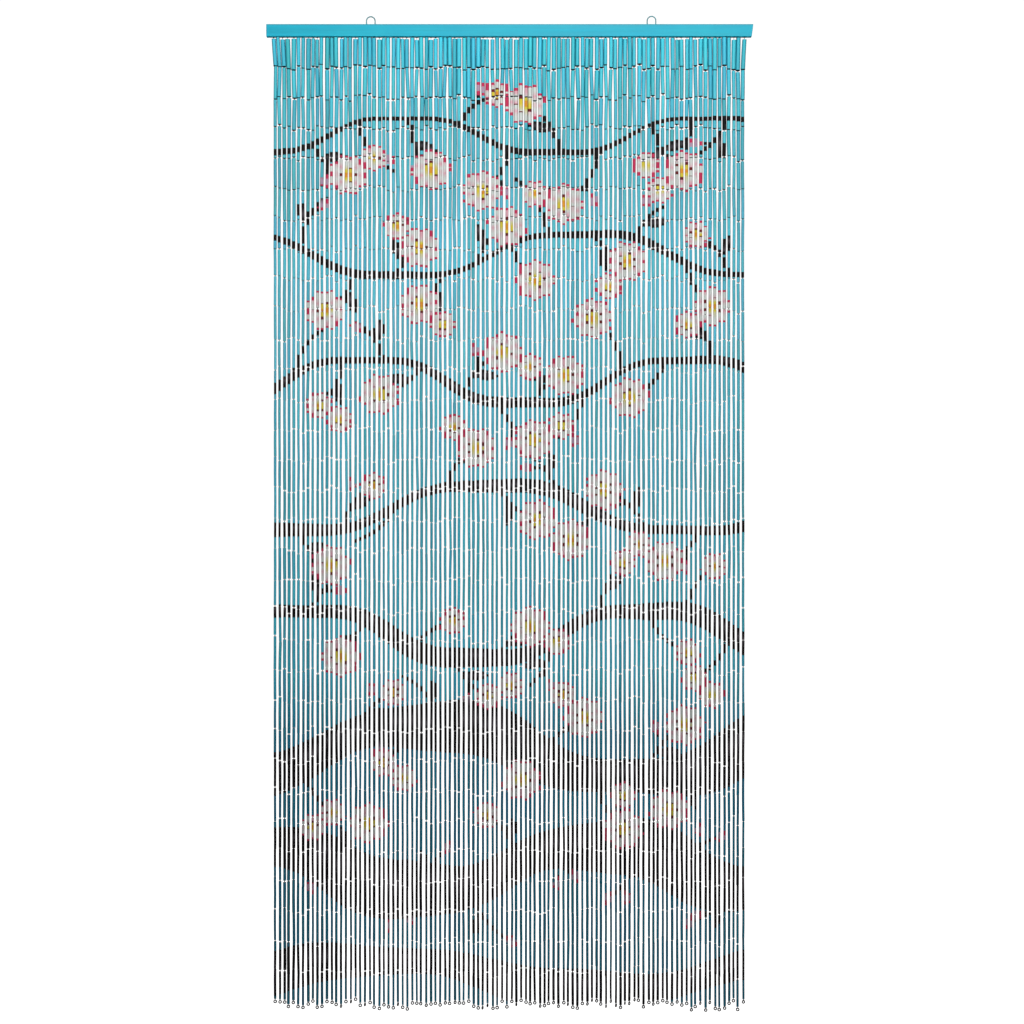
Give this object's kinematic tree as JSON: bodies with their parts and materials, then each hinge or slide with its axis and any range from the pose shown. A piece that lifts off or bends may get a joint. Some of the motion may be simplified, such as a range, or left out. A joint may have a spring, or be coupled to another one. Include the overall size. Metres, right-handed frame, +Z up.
{
  "type": "bamboo bead fly curtain with its hanging rail",
  "caption": "Doorway fly curtain: strands of short painted bamboo tubes, linked by wire and ending in wire rings, hang side by side from a painted wooden rail with two arched wire eyes.",
  "frame": {"origin": "centre of the rail's flat top face", "axes": "+Z up, along the hanging strands; +X along the rail to the right as seen from the front; the front looks along -Y and the rail's back along +Y"},
  "size_m": [0.9999, 0.012, 2.0475],
  "materials": {
    "rail_paint": "satin turquoise paint on a wooden batten",
    "eye_wire": "steel wire with a thin coat of turquoise paint on the hanging eyes, bare and dull grey in the links and foot rings",
    "painted_bamboo": "hollow bamboo tubes painted turquoise with a flower design"
  },
  "bodies": {
    "root": {"rail": "rail_paint", "hanging_eye_left": "eye_wire", "hanging_eye_right": "eye_wire", "strands": "painted_bamboo"}
  },
  "joints": []
}
